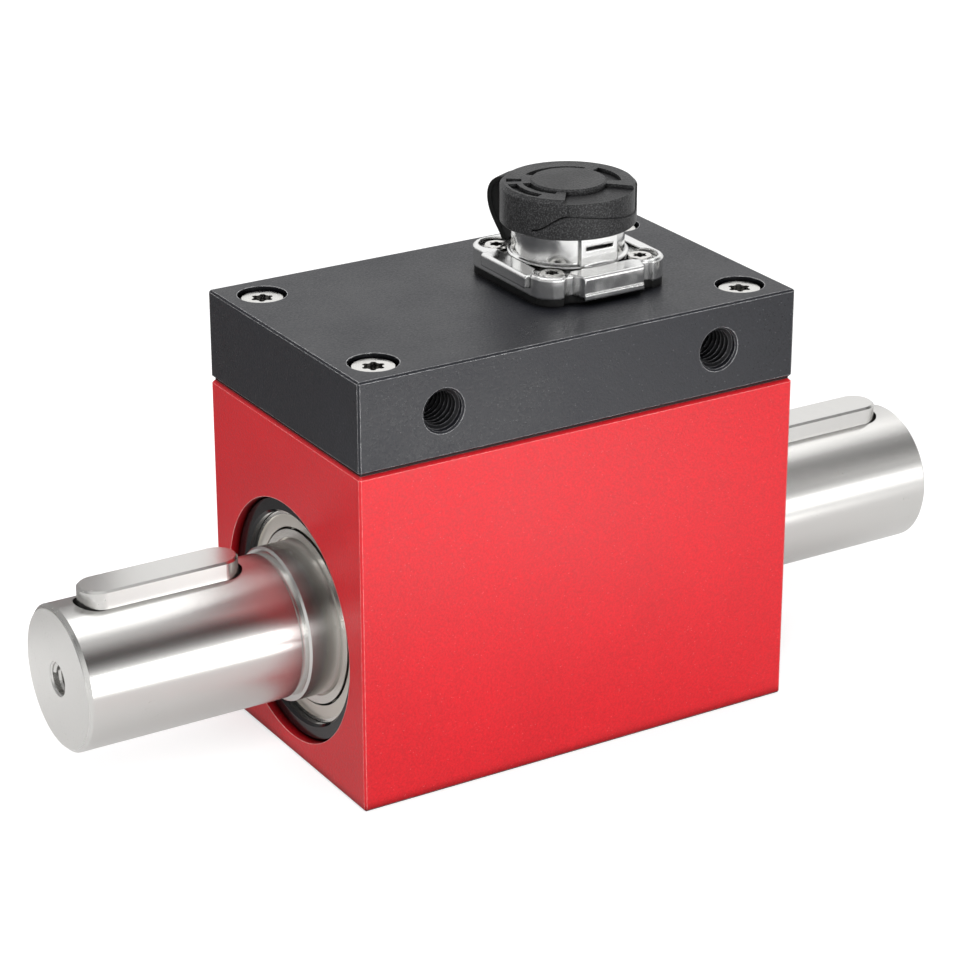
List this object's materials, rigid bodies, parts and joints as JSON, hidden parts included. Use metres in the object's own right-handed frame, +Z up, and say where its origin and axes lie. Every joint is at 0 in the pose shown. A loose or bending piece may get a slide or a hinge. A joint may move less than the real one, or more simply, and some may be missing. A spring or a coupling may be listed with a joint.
{
  "type": "rotary torque sensor",
  "caption": "Rotary torque sensor: block housing, keyed through-shaft in shielded bearings, dark top cover and a capped round connector on a square flange.",
  "frame": {"origin": "centre of the housing's underside, below the middle of the shaft", "axes": "+X along the shaft, towards the end beside the connector; -Y out of the front face with the two tapped holes; +Z up"},
  "size_m": [0.19, 0.058, 0.1047],
  "materials": {
    "red_anodised": "satin red anodised, fine bead-blasted grain",
    "black_anodised": "satin dark grey anodised, fine grain",
    "black_carrier": "semi-gloss black anodised, turned",
    "black_rubber": "smooth black rubber",
    "zinc_steel": "bright plated steel",
    "spring_steel": "dark spring steel",
    "bearing_steel": "ground bearing steel",
    "shield_steel": "pressed steel sheet, warm grey",
    "turned_steel": "fine turned steel with lathe lines round the axis",
    "ground_steel": "ground bright steel",
    "polished_casting": "polished nickel-plated die casting",
    "white_plastic": "natural plastic",
    "copper": "enamelled copper wire",
    "black_plastic": "black plastic",
    "brass": "plain brass",
    "green_board": "green circuit board",
    "gauge_foil": "amber foil patch",
    "cap_plastic": "black moulded plastic with a fine spark texture"
  },
  "bodies": {
    "housing": {"housing_block": "red_anodised", "cover_gasket": "black_rubber", "top_cover": "black_anodised", "cover_screws": "zinc_steel", "bearing_carrier_left": "black_carrier", "bearing_carrier_right": "black_carrier", "retaining_ring_left": "spring_steel", "retaining_ring_right": "spring_steel", "outer_ring_left": "bearing_steel", "outer_ring_right": "bearing_steel", "shields_left": "shield_steel", "shields_right": "shield_steel", "stator_former": "white_plastic", "stator_winding": "copper", "speed_pickup": "black_plastic", "coil_leads": "copper", "board_standoffs": "brass", "circuit_board": "green_board", "board_parts": "black_plastic", "board_screws": "zinc_steel", "connector_pad": "black_rubber", "connector_flange": "polished_casting", "connector_housing": "polished_casting", "barrel_seal": "black_rubber", "connector_insert": "black_plastic", "connector_contacts": "brass", "flange_screws": "zinc_steel", "cap_strap": "black_rubber"},
    "rotor": {"shaft": "turned_steel", "key_left": "ground_steel", "key_right": "ground_steel", "inner_ring_left": "bearing_steel", "inner_ring_right": "bearing_steel", "rotor_former": "white_plastic", "rotor_winding": "copper", "speed_disc": "turned_steel", "strain_gauges": "gauge_foil"},
    "balls_left": {"ball_cage_left": "white_plastic", "balls_left": "bearing_steel"},
    "balls_right": {"ball_cage_right": "white_plastic", "balls_right": "bearing_steel"},
    "liner": {"cap_liner": "black_rubber"},
    "cap": {"protective_cap": "cap_plastic"}
  },
  "joints": [
    {"name": "shaft_spin", "type": "hinge", "parent": "housing", "child": "rotor", "pos_m": [0, 0, 0.0277], "axis": [1, 0, 0], "continuous": true},
    {"name": "balls_left_roll", "type": "hinge", "parent": "housing", "child": "balls_left", "pos_m": [-0.0406, 0, 0.0277], "axis": [1, 0, 0], "continuous": true},
    {"name": "balls_right_roll", "type": "hinge", "parent": "housing", "child": "balls_right", "pos_m": [0.0406, 0, 0.0277], "axis": [1, 0, 0], "continuous": true},
    {"name": "cap_lift", "type": "slide", "parent": "housing", "child": "liner", "axis": [0, 0, 1], "range_m": [0, 0.012], "deforming": ["cap_strap"]},
    {"name": "cap_turn", "type": "hinge", "parent": "liner", "child": "cap", "pos_m": [0.0148, 0, 0.0966], "axis": [0, 0, 1], "range_deg": [0, 45], "deforming": ["cap_strap"]}
  ],
  "couplings": [
    {"joint": "balls_left_roll", "follows": "shaft_spin", "ratio": 0.4517},
    {"joint": "balls_right_roll", "follows": "shaft_spin", "ratio": 0.4517}
  ]
}
